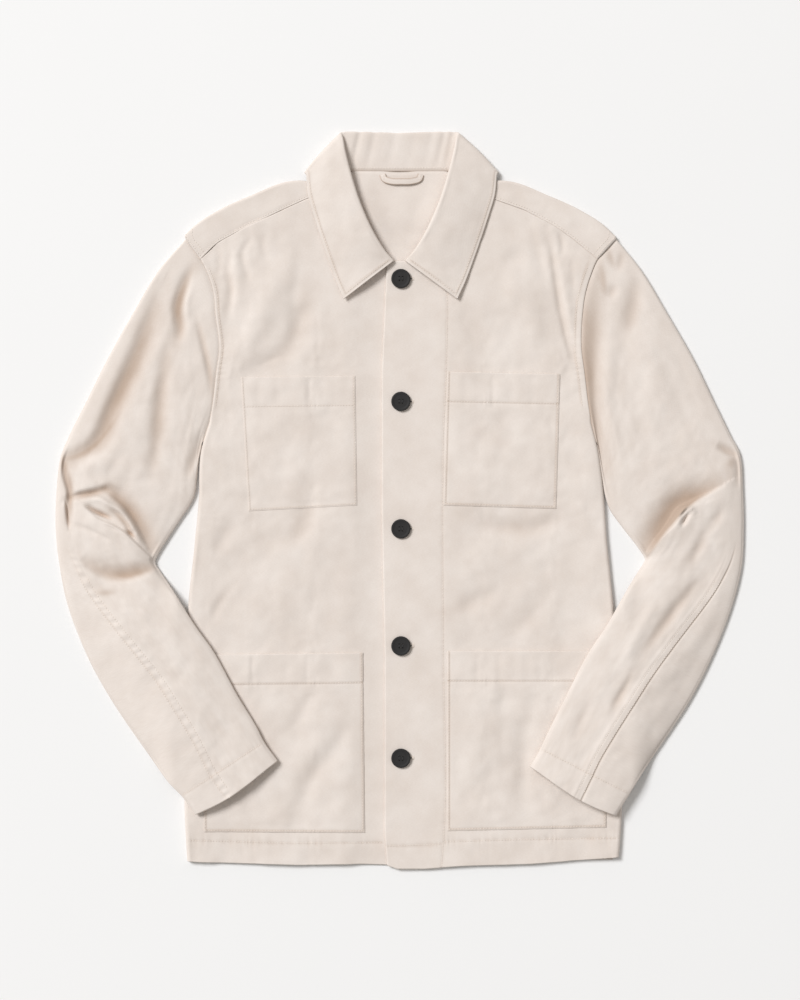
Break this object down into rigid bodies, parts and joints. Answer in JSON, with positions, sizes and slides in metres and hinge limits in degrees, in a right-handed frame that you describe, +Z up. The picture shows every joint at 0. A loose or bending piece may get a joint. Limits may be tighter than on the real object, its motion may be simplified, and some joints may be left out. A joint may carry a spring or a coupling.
{
  "type": "overshirt",
  "caption": "Cotton twill overshirt laid flat, front up: buttoned front, spread collar, patch pockets on chest and hips, sleeves folded back over the hem.",
  "frame": {"origin": "on the surface the overshirt lies on, under the middle of its outline", "axes": "+X to the right seen from above with the collar away, +Y from hem to collar, +Z up from the surface through the back and the fronts"},
  "size_m": [0.7304, 0.7818, 0.0187],
  "materials": {
    "twill": "washed cotton twill, matt, pale sand",
    "button_resin": "black resin with a soft sheen"
  },
  "bodies": {
    "root": {"back": "twill", "front_left": "twill", "front_right": "twill", "sleeve_left": "twill", "sleeve_right": "twill", "collar": "twill", "pocket_chest_left": "twill", "pocket_chest_right": "twill", "pocket_hip_left": "twill", "pocket_hip_right": "twill", "hanger_loop": "twill", "button_1": "button_resin", "button_2": "button_resin", "button_3": "button_resin", "button_4": "button_resin", "button_5": "button_resin"}
  },
  "joints": []
}
